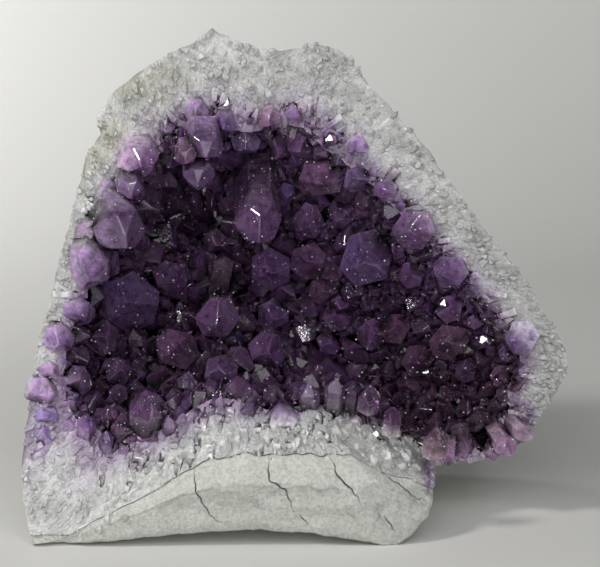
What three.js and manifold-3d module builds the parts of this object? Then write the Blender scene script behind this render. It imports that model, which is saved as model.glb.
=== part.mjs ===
// A standing section of an amethyst geode: a pale rind of rock, lined with a quartz crust that has grown into
// hexagonal points. Millimetres, +Z up. The hollow opens towards -Y, and the origin is on the flat underside.
// Shapes are drawn in the geode's own upright frame, x across, y deeper into the hollow and z up its face,
// and then leaned back with the face, which looks a little upwards.
import * as THREE from "three";
import { ConvexGeometry } from "three/addons/geometries/ConvexGeometry.js";
import { SimplexNoise } from "three/addons/math/SimplexNoise.js";
import { mergeVertices } from "three/addons/utils/BufferGeometryUtils.js";
import Module from "manifold-3d";

const wasm = await Module();
wasm.setup();

// Stance
const LEAN = THREE.MathUtils.degToRad(12); // how far the face leans back
const FOOT_DEEP = -25; // where the front feet meet the table, in front of the rim's mean plane
const STAND_BACK = 20; // from the rim's mean plane back to the origin, on the flat underside
const FLOOR = 4; // least rock between the crust and the table
const GAP = 0.35; // between the rind and the crust
const SLIVER = 0.5; // detail of the crystals finer than this is merged away
const CRUMB = 0.05; // and this, once the crust is cut to fit the rock

// The hollow, in the geode's own frame
const HOLLOW = new THREE.Vector2(-31, 88); // centre of the hollow, across and up
const WALL_DEEP = 58; // deepest point of the hollow's wall, behind the rim's mean plane
const LINING_DEEP = 74; // back of the quartz crust
const RIND_DEEP = 88; // back of the rind
const RIND_BACK = new THREE.Vector2(-12, 84); // where the rind's back is centred
const RECESS = { across: -40, up: 118, width: 13, depth: 11 }; // a darker pocket in the wall
const FOCUS = new THREE.Vector3(-13, 4, 84); // a point in the open that sees the whole wall

// How square a bowl's section is, at its top and left, and at its right end: 2 is an ellipse, and more is a
// flatter back with steeper sides
const OUTSIDE_BOX = { left: 2.4, right: 2.1 };
const LINING_BOX = { left: 2.3, right: 1.9 };
const WALL_BOX = { left: 2.3, right: 1.6 };
const FLOOR_BOX = 0.9; // and how much more so towards the floor

// Relief of the rock's outside and of its broken rim
const SWELL = { mean: 3, broad: { height: 2.4, size: 31 }, fine: { height: 1.2, size: 13 } };
const RIM_RELIEF = { height: 1.1, size: 9 };
const RIM_BULGE = 0.1; // how far the rock's face on the rim bulges, for its width
const BAND_SINK = 5; // how far the quartz band falls back to the hollow's edge

// The rim, station by station round the face: across and up are on the outline, rind and band are the widths
// of the rock and of the broken quartz inside it, and deep is how far back the rim lies there.
const RIM = [
  [99, 64, 3, 15, 2],
  [96, 73, 3, 18, 2],
  [90, 83, 3, 19, 1],
  [80, 99, 3, 19, 0],
  [70, 111, 3, 18, 0],
  [60, 125, 3, 19, 1],
  [48, 142, 3, 21, 3],
  [36, 156, 3, 23, 5],
  [25, 168, 3, 26, 7],
  [20, 175, 3, 28, 8],
  [15, 180, 3, 29, 8],
  [6, 182, 3, 29, 9],
  [-4, 180, 3, 27, 9],
  [-15, 181, 4, 28, 9],
  [-25, 184, 4, 29, 9],
  [-32, 188, 4, 31, 9],
  [-37, 184, 5, 27, 9],
  [-48, 179, 6, 24, 8],
  [-59, 172, 6, 24, 7],
  [-69, 164, 5, 24, 6],
  [-75, 155, 5, 24, 5],
  [-73, 149, 4, 20, 4],
  [-78, 142, 4, 16, 3],
  [-81, 130, 4, 13, 1],
  [-85, 115, 4, 11, -2],
  [-89, 99, 4, 10, -5],
  [-92, 84, 4, 8, -8],
  [-96, 69, 4, 8, -12],
  [-97, 55, 4, 9, -16],
  [-99, 40, 4, 14, -20],
  [-100, 24, 5, 24, -23],
  [-98, 11, 4, 36, -24],
  [-96, 0, 3, 42, -25],
  [-82, 1, 10, 36, -25],
  [-66, 2, 14, 28, -26],
  [-49, 4, 21, 24, -26],
  [-33, 5, 26, 21, -26],
  [-17, 6, 27, 20, -26],
  [0, 5, 29, 19, -25],
  [15, 3, 34, 17, -25],
  [27, 1, 38, 17, -24],
  [35, 0, 40, 18, -23],
  [42, 6, 35, 22, -22],
  [46, 10, 22, 30, -20],
  [49, 20, 6, 32, -15],
  [50, 27, 4, 22, 0],
  [56, 28, 4, 8, 8],
  [64, 28, 4, 6, 10],
  [73, 30, 4, 6, 10],
  [83, 36, 4, 7, 8],
  [89, 46, 4, 9, 6],
  [95, 55, 4, 12, 4],
].map(([across, up, rind, band, deep]) => {
  const out = new THREE.Vector2(across, up).sub(HOLLOW);
  const reach = out.length();
  return { out: out.divideScalar(reach), reach, rind, band, deep };
});
RIM.forEach((station, at) => {
  const near = [-4, -3, -2, -1, 0, 1, 2, 3, 4].map((step) => RIM.at((at + step) % RIM.length).reach);
  station.evenReach = near.reduce((sum, reach) => sum + reach, 0) / near.length;
});
const LOWER_LIP = { first: 28, last: 44.5 }; // the stations between which the lower lip runs
const UPPER_RIM = { first: 52.5, last: 80 }; // and the top of the rim, counted on past the last station

// Single crystals that stand out: across and up are where one shows on the face, then its radius, how far it
// leans across and up, and how far its shoulder stands out of the wall, in radii.
const LEADING_CRYSTALS = [
  // the left wall, from the top down
  [-59, 137, 8.0, 0.15, -0.62, 0.9],
  [-62, 126, 5.2, 0.3, -0.7, 0.7],
  [-62, 114, 9.6, 0.55, -0.55, 1.0],
  [-76, 97, 8.8, 0.42, -0.35, 0.8],
  [-80, 84, 5.4, 0.3, -0.4, 0.8],
  [-85, 71, 5.6, 0.3, -0.2, 0.8],
  [-89, 63, 4.2, 0.1, -0.1, 0.7],
  [-94, 55, 6.4, -0.45, 0.0, 0.9],
  [-90, 47, 4.6, -0.2, -0.1, 0.6],
  [-81, 58, 6.6, 0.4, 0.1, 0.5],
  [-62, 83, 11.4, 0.3, -0.1, 0.6],
  [-54, 92, 5.0, 0.5, -0.3, 0.4],
  [-66, 65, 6.4, 0.4, 0.1, 0.3],
  [-53, 62, 5.2, 0.3, 0.2, 0.2],
  [-72, 101, 5.0, 0.6, -0.2, 0.2],
  // under the top rim
  [-47, 131, 5.6, 0.25, -0.65, 0.6],
  [-47, 142, 5.4, 0.2, -0.6, 0.8],
  [-35, 143, 7.6, 0.05, -0.6, 1.2],
  [-34, 132, 6.2, 0.1, -0.7, 1.3],
  [-38, 155, 4.6, 0.05, -0.6, 0.9],
  [-49, 152, 3.6, 0.2, -0.6, 0.6],
  [-28, 153, 5.0, 0.0, -0.6, 0.7],
  [-18, 152, 5.2, -0.1, -0.55, 0.6],
  [-7, 152, 4.6, 0.0, -0.5, 0.6],
  [1, 147, 5.2, -0.1, -0.45, 0.5],
  [10, 145, 4.8, -0.1, -0.4, 0.6],
  [-26, 140, 4.6, 0.1, -0.5, 0.4],
  [-15, 141, 5.4, 0.0, -0.5, 0.5],
  // the middle of the hollow
  [-20, 127, 8.8, 0.05, -0.35, 0.6],
  [-16, 112, 7.4, 0.0, -0.6, 1.1],
  [-6, 126, 5.4, -0.3, -0.2, 0.6],
  [7, 132, 8.0, -0.2, -0.3, 0.7],
  [21, 131, 5.4, -0.3, -0.2, 0.5],
  [-31, 108, 5.6, 0.1, -0.2, 0.3],
  [-27, 96, 7.4, 0.1, -0.1, 0.3],
  [-31, 82, 8.4, 0.15, 0.15, 0.5],
  [3, 101, 7.6, -0.1, -0.1, 0.4],
  [24, 103, 10.8, -0.15, -0.05, 0.7],
  [-12, 70, 8.0, 0.05, 0.1, 0.5],
  [-9, 78, 5.8, -0.1, 0.0, 0.5],
  [11, 73, 5.2, -0.2, 0.1, 0.5],
  [15, 85, 4.8, -0.1, 0.2, 0.7],
  [-9, 88, 6.4, 0.0, 0.1, 0.3],
  [3, 116, 6.2, -0.1, -0.3, 0.3],
  [-8, 98, 5.8, 0.1, 0.1, 0.3],
  // the wing on the right
  [40, 112, 8.4, -0.25, -0.2, 0.5],
  [55, 98, 6.2, -0.35, -0.1, 0.5],
  [40, 97, 6.0, -0.15, 0.1, 0.4],
  [56, 84, 5.6, -0.25, 0.15, 0.9],
  [58, 92, 4.2, -0.3, -0.1, 0.4],
  [65, 80, 3.0, -0.3, 0.1, 0.6],
  [55, 73, 7.2, -0.15, -0.1, 0.4],
  [37, 76, 5.6, -0.2, 0.1, 0.5],
  [26, 70, 5.2, -0.2, 0.2, 0.4],
  [45, 65, 5.8, -0.1, 0.1, 0.5],
  [61, 63, 4.8, -0.2, -0.1, 0.5],
  [75, 68, 3.6, -0.3, 0.0, 0.4],
  [80, 74, 4.2, -0.4, 0.0, 0.3],
  [73, 59, 4.6, -0.1, -0.1, 0.5],
  [81, 59, 4.2, -0.1, -0.2, 0.4],
  [63, 49, 5.2, -0.1, -0.3, 0.5],
  [34, 121, 4.6, -0.3, -0.2, 0.4],
  [45, 47, 5.2, -0.1, 0.0, 0.2],
  [51, 56, 4.8, -0.1, -0.1, 0.4],
  // the wing's ragged lower edge
  [54, 30, 3.4, -0.1, -0.85, 1.2],
  [60, 33, 4.6, 0.1, -0.75, 1.2],
  [67, 37, 5.6, 0.15, -0.65, 1.0],
  [75, 34, 4.4, 0.45, -0.7, 1.3],
  [82, 39, 4.2, 0.6, -0.5, 1.1],
  [70, 31, 3.2, 0.2, -0.85, 1.0],
  [76, 47, 5.0, 0.2, -0.4, 0.6],
  [57, 40, 5.0, 0.0, -0.5, 0.7],
  [87, 48, 3.6, 0.6, -0.4, 0.8],
];

// Points that fill the rest of the wall
const FILL = {
  seed: 41,
  tries: 6000,
  most: 88,
  spacing: 0.74, // least distance between two, in sums of their radii
  coarse: [6.8, 9.2], // radii on the left
  fine: [4.8, 6.4], // radii at the right end
  rootDepth: 4, // how far a point is rooted in the crust
  focus: 0.7, // how much the points turn towards the hollow's middle
  wild: 0.28, // and how much at random
};

// The palisade: columns side by side in the broken band, pointing into the hollow
const PALISADE = {
  seed: 7,
  radius: [2.6, 4.4],
  fan: 0.2, // spread of their directions
  lipSpacing: 7.5, // between columns along the lower lip
  topSpacing: 16, // between columns along the rest of the rim
};

// Quartz ends in six faces that stand at this angle from the crystal's axis
const TIP_SLOPE = THREE.MathUtils.degToRad(38.2);

// Repeatable random numbers from 0 to 1.
function seeded(seed) {
  return () => {
    seed = (seed + 0x6d2b79f5) | 0;
    let t = Math.imul(seed ^ (seed >>> 15), 1 | seed);
    t = (t + Math.imul(t ^ (t >>> 7), 61 | t)) ^ t;
    return ((t ^ (t >>> 14)) >>> 0) / 4294967296;
  };
}

const between = (random, low, high) => low + (high - low) * random();

// From the geode's own frame to the world: leaned back, and set down on its feet.
const stand = new THREE.Matrix4()
  .makeRotationX(-LEAN)
  .setPosition(0, -STAND_BACK * Math.cos(LEAN), FOOT_DEEP * Math.sin(LEAN));

// A closed geometry as a solid to join and cut.
function solid(geometry) {
  const bare = geometry.clone();
  bare.deleteAttribute("normal");
  bare.deleteAttribute("uv");
  const merged = mergeVertices(bare, 1e-4);
  return new wasm.Manifold(
    new wasm.Mesh({
      numProp: 3,
      vertProperties: merged.attributes.position.array,
      triVerts: new Uint32Array(merged.index.array),
    }),
  );
}

function geometryOf(made) {
  const mesh = made.getMesh();
  const geometry = new THREE.BufferGeometry();
  geometry.setAttribute("position", new THREE.BufferAttribute(mesh.vertProperties, 3));
  geometry.setIndex(new THREE.BufferAttribute(mesh.triVerts, 1));
  return geometry.toNonIndexed();
}

function boxiness(station, { left, right }) {
  const down = Math.max(0, -station.out.y);
  const aside = Math.max(0, station.out.x) * (1 - down);
  return THREE.MathUtils.lerp(left, right, aside) + FLOOR_BOX * down;
}

// A point of a bowl whose rim is `inset` inside the outline; turn is 0 at the rim and 1 at the back. Behind
// its broken rim the bowl is rounder.
function bowlPoint(station, { inset, rimDeep, backDeep, back, box }, turn) {
  const round = Math.min(1, 1.6 * turn);
  const reach = THREE.MathUtils.lerp(station.reach, station.evenReach, round) - inset;
  const angle = (turn * Math.PI) / 2;
  const shrink = Math.cos(angle) ** (2 / box);
  const sink = Math.sin(angle) ** (2 / box);
  const centre = HOLLOW.clone().lerp(back, sink);
  return new THREE.Vector3(
    centre.x + station.out.x * reach * shrink,
    rimDeep + (backDeep - rimDeep) * sink,
    centre.y + station.out.y * reach * shrink,
  );
}

const rockNoise = new SimplexNoise({ random: seeded(3) });

// Smooth bumps, about `size` apart and up to `height` high or deep.
function bumps(p, { height, size }) {
  return height * rockNoise.noise3d(p.x / size, p.y / size, p.z / size);
}

function rindOutside(station, turn, spare) {
  const p = bowlPoint(
    station,
    {
      inset: 0,
      rimDeep: station.deep,
      backDeep: RIND_DEEP,
      back: RIND_BACK,
      box: boxiness(station, OUTSIDE_BOX),
    },
    turn,
  );
  const swell = SWELL.mean + bumps(p, SWELL.broad) + bumps(p, SWELL.fine);
  const outward = new THREE.Vector3(p.x - HOLLOW.x, p.y + 10, p.z - HOLLOW.y).normalize();
  return p.addScaledVector(outward, swell * Math.min(1, turn * 4) + spare);
}

// The surface where the rind meets the crust, moved out or in by `offset`.
function liningBack(station, turn, offset) {
  return bowlPoint(
    station,
    {
      inset: station.rind - offset,
      rimDeep: station.deep,
      backDeep: LINING_DEEP + offset,
      back: HOLLOW.clone().lerp(RIND_BACK, 0.5),
      box: boxiness(station, LINING_BOX),
    },
    turn,
  );
}

// The wall that the crystals stand on.
function wallPoint(station, turn) {
  const p = bowlPoint(
    station,
    {
      inset: station.rind + station.band,
      rimDeep: station.deep + BAND_SINK,
      backDeep: WALL_DEEP,
      back: HOLLOW,
      box: boxiness(station, WALL_BOX),
    },
    turn,
  );
  const away = Math.hypot(p.x - RECESS.across, p.z - RECESS.up) / RECESS.width;
  p.y += RECESS.depth * Math.exp(-away * away);
  return p;
}

// A point on the broken rim: inward is 0 at the outline, 1 where rind meets quartz and 2 at the hollow's
// edge.
function rimPoint(station, inward, spare = 0) {
  const { out, reach, rind, band, deep } = station;
  const width = (inward < 1 ? rind * inward : rind + band * (inward - 1)) + spare * (inward < 1 ? -1 : 1);
  const bulge = inward < 1 ? RIM_BULGE * rind * Math.sin(Math.PI * inward) : 0;
  const behind = inward > 1 ? BAND_SINK * (inward - 1) : 0;
  const p = new THREE.Vector3(
    HOLLOW.x + out.x * (reach - width),
    deep - bulge + behind - spare,
    HOLLOW.y + out.y * (reach - width),
  );
  if (inward > 0 && inward < 2) p.y += bumps(p, RIM_RELIEF);
  return p;
}

// A sphere's rows and columns, pulled to where `at(row, station)` says; the first and last rows are poles.
function wrapped(rows) {
  const columns = RIM.length;
  const geometry = new THREE.SphereGeometry(1, columns, rows.length - 1);
  const position = geometry.attributes.position;
  rows.forEach((at, row) => {
    for (let column = 0; column <= columns; column++) {
      const p = at(RIM[(columns - column) % columns]);
      position.setXYZ(row * (columns + 1) + column, p.x, p.y, p.z);
    }
  });
  return geometry;
}

const turns = (count) => Array.from({ length: count }, (_, i) => (i + 1) / count);

// The rock round its back, over the broken rim and down its lined inside. With `spare` it is that much fuller
// on its rim and inside, and well past its outside.
function rockShell(spare) {
  return solid(
    wrapped([
      ...turns(7).reverse().map((turn) => (s) => rindOutside(s, turn, 10 * spare)),
      ...[0, 0.5, 1].map((inward) => (s) => rimPoint(s, inward, spare)),
      ...turns(5).map((turn) => (s) => liningBack(s, turn, -spare)),
    ]).applyMatrix4(stand),
  );
}

// What the rock holds, closed across the rim.
function lined() {
  return solid(
    wrapped([
      ...turns(5).reverse().map((turn) => (s) => liningBack(s, turn, GAP)),
      (s) => liningBack(s, 0, GAP),
      () => new THREE.Vector3(HOLLOW.x, 0, HOLLOW.y),
    ]).applyMatrix4(stand),
  );
}

// The rind, with a floor of rock where the table cuts the bowl.
function makeRind() {
  return rockShell(0).add(lined().intersect(tableBlock(FLOOR)));
}

// The bare lining, before any crystal stands on it, in the geode's own frame.
function liningGeometry() {
  return wrapped([
    ...turns(5).reverse().map((turn) => (s) => liningBack(s, turn, -GAP)),
    (s) => liningBack(s, 0, -GAP),
    (s) => rimPoint(s, 1.5),
    ...turns(5).map((turn) => (s) => wallPoint(s, turn)),
  ]);
}

// A quartz point along +Z, its shoulder near z = 0: a six-sided prism with uneven sides under a six-faced tip
// that is off centre.
function quartzPoint(radius, root, random) {
  const corners = [];
  for (let side = 0; side < 6; side++) {
    const turn = (side * Math.PI) / 3;
    const girth = radius * between(random, 0.86, 1.06);
    const rim = radius * between(random, -0.12, 0.12);
    corners.push(new THREE.Vector3(girth * Math.cos(turn), girth * Math.sin(turn), rim));
    corners.push(new THREE.Vector3(girth * Math.cos(turn), girth * Math.sin(turn), -root));
  }
  const aside = radius * between(random, 0, 0.3);
  const way = between(random, 0, 2 * Math.PI);
  const height = (0.87 * radius) / Math.tan(TIP_SLOPE);
  corners.push(new THREE.Vector3(aside * Math.cos(way), aside * Math.sin(way), height));
  return new ConvexGeometry(corners);
}

// A quartz point with its shoulder at `shoulder`, pointing along `axis`, both in the geode's own frame. Its
// shape comes from its place.
function grownPoint({ shoulder, axis, radius, root }) {
  const random = seeded(Math.round(97 * shoulder.x) + Math.round(89 * shoulder.z));
  const along = new THREE.Vector3(0, 0, 1);
  const twist = new THREE.Quaternion().setFromAxisAngle(along, between(random, 0, Math.PI / 3));
  const turned = new THREE.Quaternion().setFromUnitVectors(along, axis).multiply(twist);
  const placed = new THREE.Matrix4().compose(shoulder, turned, new THREE.Vector3(1, 1, 1));
  return solid(quartzPoint(radius, root, random).applyMatrix4(placed).applyMatrix4(stand));
}

// An open sheet to find places on: its first row is twice there, because the row after a pole has half the
// faces.
function sheet(rows) {
  const bothSides = new THREE.MeshBasicMaterial({ side: THREE.DoubleSide });
  return new THREE.Mesh(wrapped([rows[0], ...rows]), bothSides);
}

const wallRows = [(s) => wallPoint(s, 0), ...turns(5).map((turn) => (s) => wallPoint(s, turn))];
const wall = sheet(wallRows);
const face = sheet([...[0, 1, 1.5].map((inward) => (s) => rimPoint(s, inward)), ...wallRows]);

// Where a straight line first meets a sheet.
function firstHit(from, direction, mesh) {
  return new THREE.Raycaster(from, direction).intersectObject(mesh)[0];
}

function leadingCrystals() {
  return LEADING_CRYSTALS.map(([across, up, radius, leanAcross, leanUp, standing]) => {
    const foot = firstHit(new THREE.Vector3(across, -200, up), new THREE.Vector3(0, 1, 0), face).point;
    const forward = Math.sqrt(1 - leanAcross ** 2 - leanUp ** 2);
    const axis = new THREE.Vector3(leanAcross, -forward, leanUp);
    const shoulder = foot.clone().setY(foot.y - radius * standing * forward);
    return { shoulder, axis, radius, root: radius * standing + FILL.rootDepth };
  });
}

// How big the filling points grow at a place: coarse on the left, finer towards the right end.
function fillRadius(p, random) {
  const coarse = THREE.MathUtils.clamp((70 - p.x) / 90, 0, 1);
  return THREE.MathUtils.lerp(between(random, ...FILL.fine), between(random, ...FILL.coarse), coarse);
}

function anyVector(random) {
  return new THREE.Vector3(between(random, -1, 1), between(random, -1, 1), between(random, -1, 1));
}

// A direction into the hollow's wall.
function wallDirection(random) {
  const turn = between(random, 0, 2 * Math.PI);
  const back = between(random, -0.4, 1);
  const aside = Math.sqrt(1 - back * back);
  return new THREE.Vector3(aside * Math.cos(turn), back, aside * Math.sin(turn));
}

function fillingCrystals(random, taken) {
  const found = [];
  for (let tried = 0; tried < FILL.tries && found.length < FILL.most; tried++) {
    const direction = wallDirection(random);
    const hit = firstHit(FOCUS, direction, wall);
    if (!hit) continue;
    const radius = fillRadius(hit.point, random);
    const crowded = (c) =>
      c.shoulder.distanceTo(hit.point) < FILL.spacing * (c.radius + radius);
    if (taken.some(crowded) || found.some(crowded)) continue;
    const axis = hit.face.normal.clone();
    if (axis.dot(direction) > 0) axis.negate();
    axis.addScaledVector(direction, -FILL.focus).normalize();
    axis.addScaledVector(anyVector(random), FILL.wild).normalize();
    const standing = radius * between(random, 0.1, 0.6);
    const shoulder = hit.point.clone().addScaledVector(axis, standing);
    found.push({ shoulder, axis, radius, root: standing + FILL.rootDepth });
  }
  return found;
}

// A point on the rim between two stations.
function rimBetween(at, inward) {
  const before = Math.floor(at);
  const [a, b] = [before, before + 1].map((station) => rimPoint(RIM[station % RIM.length], inward));
  return a.lerp(b, at - before);
}

// Columns side by side in the broken band, from `first` to `last` along the rim's stations.
function palisadeCrystals(random, { first, last }, spacing) {
  const found = [];
  for (let at = first; at < last; ) {
    const edge = rimBetween(at, 2);
    const root = rimBetween(at, 1);
    const band = edge.distanceTo(root);
    const radius = Math.min(between(random, ...PALISADE.radius), band * 0.2);
    const axis = edge.clone().sub(root).normalize();
    axis.x += between(random, -1, 1) * PALISADE.fan;
    axis.z += between(random, -1, 1) * PALISADE.fan;
    axis.y += between(random, -0.15, 0.1);
    axis.normalize();
    const shoulder = root.clone().addScaledVector(axis, band * between(random, 0.8, 1.05));
    shoulder.y += radius * between(random, 0.5, 1.2);
    found.push({ shoulder, axis, radius, root: band * 0.6 });
    at += (spacing * between(random, 0.8, 1.2)) / edge.distanceTo(rimBetween(at + 1, 2));
  }
  return found;
}

function makeCrust() {
  const leading = leadingCrystals();
  const random = seeded(PALISADE.seed);
  const palisade = [
    ...palisadeCrystals(random, LOWER_LIP, PALISADE.lipSpacing),
    ...palisadeCrystals(random, UPPER_RIM, PALISADE.topSpacing),
  ];
  const filling = fillingCrystals(seeded(FILL.seed), [...leading, ...palisade]);
  const points = [...leading, ...filling, ...palisade].map(grownPoint);
  const body = solid(liningGeometry().applyMatrix4(stand));
  const grown = wasm.Manifold.union([body, ...points]).asOriginal().simplify(SLIVER);
  const fitted = grown.subtract(rockShell(GAP)).subtract(tableBlock(FLOOR + GAP));
  return largest(fitted.asOriginal().simplify(CRUMB));
}

// The biggest of a solid's separate bodies, without the scraps that a cut leaves.
function largest(made) {
  const bodies = made.decompose();
  return bodies.reduce((a, b) => (b.volume() > a.volume() ? b : a));
}

// Everything below a height, to cut off flat.
function tableBlock(top) {
  return solid(new THREE.BoxGeometry(400, 400, 100).translate(0, 0, top - 50));
}

const CHALK = new THREE.MeshStandardMaterial({ color: 0xd3d6cc, roughness: 0.95, metalness: 0 });
const AMETHYST = new THREE.MeshStandardMaterial({ color: 0x5b3a78, roughness: 0.15, metalness: 0 });

const geode = new THREE.Group();
for (const [name, made, material] of [
  ["rind", makeRind().subtract(tableBlock(0)), CHALK],
  ["crystal_crust", makeCrust(), AMETHYST],
]) {
  const mesh = new THREE.Mesh(geometryOf(made), material);
  mesh.name = name;
  geode.add(mesh);
}

export default geode;
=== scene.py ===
import math
from itertools import combinations

import bmesh
import bpy
import numpy as np
from mathutils import Matrix, Vector, noise
from mathutils.bvhtree import BVHTree


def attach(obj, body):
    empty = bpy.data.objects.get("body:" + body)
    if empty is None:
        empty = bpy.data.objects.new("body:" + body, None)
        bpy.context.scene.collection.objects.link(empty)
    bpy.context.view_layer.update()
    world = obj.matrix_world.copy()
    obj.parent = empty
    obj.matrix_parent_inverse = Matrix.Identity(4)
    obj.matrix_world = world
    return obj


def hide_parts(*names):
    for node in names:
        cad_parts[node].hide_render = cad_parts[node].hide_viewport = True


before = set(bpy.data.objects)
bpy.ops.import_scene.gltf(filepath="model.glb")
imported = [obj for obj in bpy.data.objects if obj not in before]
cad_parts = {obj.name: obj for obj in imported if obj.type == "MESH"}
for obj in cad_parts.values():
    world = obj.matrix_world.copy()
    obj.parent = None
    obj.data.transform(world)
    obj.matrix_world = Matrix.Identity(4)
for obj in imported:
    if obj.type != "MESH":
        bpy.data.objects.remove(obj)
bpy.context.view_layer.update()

# Stance
LEAN = math.radians(12)  # how far the face leans back
FOOT_DEEP = -25  # where the front feet meet the table, in front of the rim's mean plane
STAND_BACK = 20  # from the rim's mean plane back to the origin
FLOOR = 4  # least rock between the crust and the table
GAP = 0.35  # between the rind and the crust
STAND = (
    Matrix.Scale(0.001, 4)
    @ Matrix.Translation((0, -STAND_BACK * math.cos(LEAN), FOOT_DEEP * math.sin(LEAN)))
    @ Matrix.Rotation(-LEAN, 4, "X")
)

# The hollow
HOLLOW = np.array([-31.0, 88.0])  # centre of the hollow, across and up
WALL_DEEP = 58  # deepest point of the hollow's wall
LINING_DEEP = 74  # back of the quartz crust
RIND_DEEP = 88  # back of the rind
RIND_BACK = np.array([-12.0, 84.0])  # where the rind's back is centred
RECESS = {"across": -40, "up": 118, "width": 13, "depth": 11}  # a deep pocket in the wall, whose crystals are drawn darker as painted shade
OUTSIDE_BOX = (2.4, 2.1)  # how square a bowl's section is, on the left and at the right end
LINING_BOX = (2.3, 1.9)
WALL_BOX = (2.3, 1.6)
FLOOR_BOX = 0.9  # and how much more so towards the floor
BAND_SINK = 5  # how far the quartz band falls back to the hollow's edge
RIM_BULGE = 0.1  # how far the rock's face on the rim bulges, for its width

# The rim, station by station round the face: across and up are on the outline, rind and band are the widths
# of the rock and of the broken quartz inside it, and deep is how far back the rim lies there
RIM = [
    (99, 64, 3, 15, 2), (96, 73, 3, 18, 2), (90, 83, 3, 19, 1), (80, 99, 3, 19, 0), (70, 111, 3, 18, 0),
    (60, 125, 3, 19, 1), (48, 142, 3, 21, 3), (36, 156, 3, 23, 5), (25, 168, 3, 26, 7),
    (20, 175, 3, 28, 8), (15, 180, 3, 29, 8), (6, 182, 3, 29, 9), (-4, 180, 3, 27, 9),
    (-15, 181, 4, 28, 9), (-25, 184, 4, 29, 9), (-32, 188, 4, 31, 9), (-37, 184, 5, 27, 9),
    (-48, 179, 6, 24, 8), (-59, 172, 6, 24, 7), (-69, 164, 5, 24, 6), (-75, 155, 5, 24, 5),
    (-73, 149, 4, 20, 4), (-78, 142, 4, 16, 3), (-81, 130, 4, 13, 1), (-85, 115, 4, 11, -2),
    (-89, 99, 4, 10, -5), (-92, 84, 4, 8, -8), (-96, 69, 4, 8, -12), (-97, 55, 4, 9, -16),
    (-99, 40, 4, 14, -20), (-100, 24, 5, 24, -23), (-98, 11, 4, 36, -24), (-96, 0, 3, 42, -25),
    (-82, 1, 10, 36, -25), (-66, 2, 14, 28, -26), (-49, 4, 21, 24, -26), (-33, 5, 26, 21, -26),
    (-17, 6, 27, 20, -26), (0, 5, 29, 19, -25), (15, 3, 34, 17, -25), (27, 1, 38, 17, -24),
    (35, 0, 40, 18, -23), (42, 6, 35, 22, -22), (46, 10, 22, 30, -20), (49, 20, 6, 32, -15),
    (50, 27, 4, 22, 0), (56, 28, 4, 8, 8), (64, 28, 4, 6, 10), (73, 30, 4, 6, 10), (83, 36, 4, 7, 8),
    (89, 46, 4, 9, 6), (95, 55, 4, 12, 4),
]

# Crystals on the wing's ragged lower edge: across and up are where one shows on the face, then its radius,
# how far it leans across and up, and how far its shoulder stands out, in radii
WING_EDGE = [
    (54, 30, 3.4, -0.1, -0.85, 1.2), (60, 33, 4.6, 0.1, -0.75, 1.2), (67, 37, 5.6, 0.15, -0.65, 1.0),
    (75, 34, 4.4, 0.45, -0.7, 1.3), (82, 39, 4.2, 0.6, -0.5, 1.1), (70, 31, 3.2, 0.2, -0.85, 1.0),
    (57, 40, 5.0, 0.0, -0.5, 0.7),
]
WING_EDGE_ROOT = 4  # how far such a crystal's root goes into the rim

# The view
LOOKING = Vector((0, math.cos(LEAN), -math.sin(LEAN)))  # square to the face
SHOWN_MIDDLE = STAND @ Vector((0, 0, 93.8))  # what the picture's middle shows
SHOWN_WIDTH = 0.2178  # of the face, across the picture, in metres
CAMERA_AWAY = 1.2
CAMERA_PLACE = SHOWN_MIDDLE - LOOKING * CAMERA_AWAY
KEY_LIGHT = Vector((-0.6, -0.35, 0.75))  # where the key light hangs, in metres


def make_camera():
    """A long lens square to the face, as far off as the photo's flat perspective asks for."""
    data = bpy.data.cameras.new("camera")
    data.sensor_width = 36
    data.lens = data.sensor_width * CAMERA_AWAY / SHOWN_WIDTH
    camera = bpy.data.objects.new("camera", data)
    camera.location = CAMERA_PLACE
    camera.rotation_euler = LOOKING.to_track_quat("-Z", "Y").to_euler()
    bpy.context.scene.collection.objects.link(camera)
    bpy.context.scene.camera = camera


# Random numbers
def seeded(seed):
    """Repeatable random numbers from 0 to 1, the same as the solids use."""
    state = [seed & 0xFFFFFFFF]

    def draw():
        state[0] = (state[0] + 0x6D2B79F5) & 0xFFFFFFFF
        s = state[0]
        t = ((s ^ (s >> 15)) * (1 | s)) & 0xFFFFFFFF
        t = ((t + (((t ^ (t >> 7)) * (61 | t)) & 0xFFFFFFFF)) & 0xFFFFFFFF) ^ t
        return ((t ^ (t >> 14)) & 0xFFFFFFFF) / 4294967296

    return draw


def between(draw, low, high):
    return low + (high - low) * draw()


def smoothly(low, high, values):
    """0 below `low` and 1 above `high`, smooth between."""
    t = np.clip((np.asarray(values, float) - low) / (high - low), 0, 1)
    return t * t * (3 - 2 * t)


def bumps(places, size, seed=0):
    """Smooth bumps, about `size` apart, from -1 to 1."""
    shift = Vector((17.3 * seed, -9.1 * seed, 5.7 * seed))
    return np.array([noise.noise(Vector(p) / size + shift) for p in places])


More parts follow.
